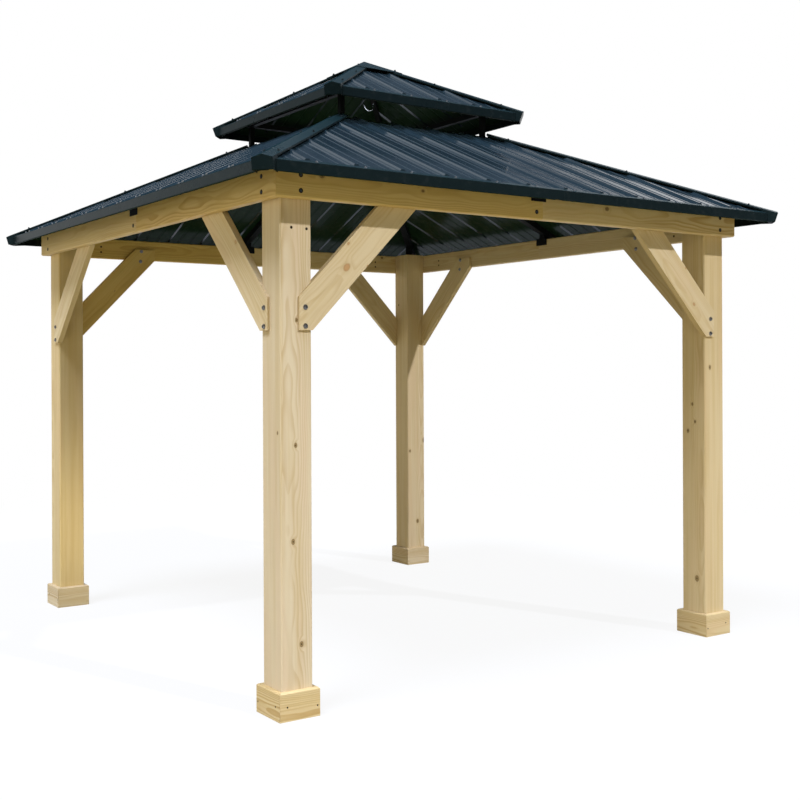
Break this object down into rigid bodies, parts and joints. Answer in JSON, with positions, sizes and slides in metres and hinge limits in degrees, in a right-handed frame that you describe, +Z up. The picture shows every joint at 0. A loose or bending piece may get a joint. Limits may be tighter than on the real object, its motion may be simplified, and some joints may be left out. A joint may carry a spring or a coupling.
{
  "type": "garden gazebo",
  "caption": "Square open garden gazebo with timber posts, beams and diagonal braces under a ribbed steel hip roof in two tiers with a vent between them.",
  "frame": {"origin": "on the ground at the centre of the plan", "axes": "+Z up, -Y towards the front side, +X towards the right side"},
  "size_m": [2.9988, 2.9988, 2.9815],
  "materials": {
    "pine_timber": "planed pale pine with knots",
    "roof_sheet": "semi-gloss dark blue-green coil coating",
    "roof_trim": "semi-gloss dark blue-green coil coating",
    "frame_steel": "matt black powder coating",
    "zinc_wire": "bright zinc plate"
  },
  "bodies": {
    "root": {"front_left_post": "pine_timber", "front_right_post": "pine_timber", "rear_right_post": "pine_timber", "rear_left_post": "pine_timber", "front_left_skirt": "pine_timber", "front_right_skirt": "pine_timber", "rear_right_skirt": "pine_timber", "rear_left_skirt": "pine_timber", "front_beam": "pine_timber", "right_beam": "pine_timber", "rear_beam": "pine_timber", "left_beam": "pine_timber", "front_brace_left": "pine_timber", "front_brace_right": "pine_timber", "right_brace_front": "pine_timber", "right_brace_rear": "pine_timber", "rear_brace_right": "pine_timber", "rear_brace_left": "pine_timber", "left_brace_rear": "pine_timber", "left_brace_front": "pine_timber", "hip_rafters": "frame_steel", "mid_rafters": "frame_steel", "post_saddles": "frame_steel", "beam_saddles": "frame_steel", "crown_ring": "frame_steel", "front_roof_sheet": "roof_sheet", "right_roof_sheet": "roof_sheet", "rear_roof_sheet": "roof_sheet", "left_roof_sheet": "roof_sheet", "hip_caps": "roof_trim", "front_eave_trim": "roof_trim", "right_eave_trim": "roof_trim", "rear_eave_trim": "roof_trim", "left_eave_trim": "roof_trim", "corner_caps": "roof_trim", "vent_posts": "frame_steel", "upper_ring": "frame_steel", "upper_rafters": "frame_steel", "upper_hub": "frame_steel", "upper_roof_sheets": "roof_sheet", "upper_hip_caps": "roof_trim", "upper_eave_trims": "roof_trim", "upper_corner_caps": "roof_trim", "peak_cap": "roof_trim", "hanging_hook": "zinc_wire"}
  },
  "joints": []
}
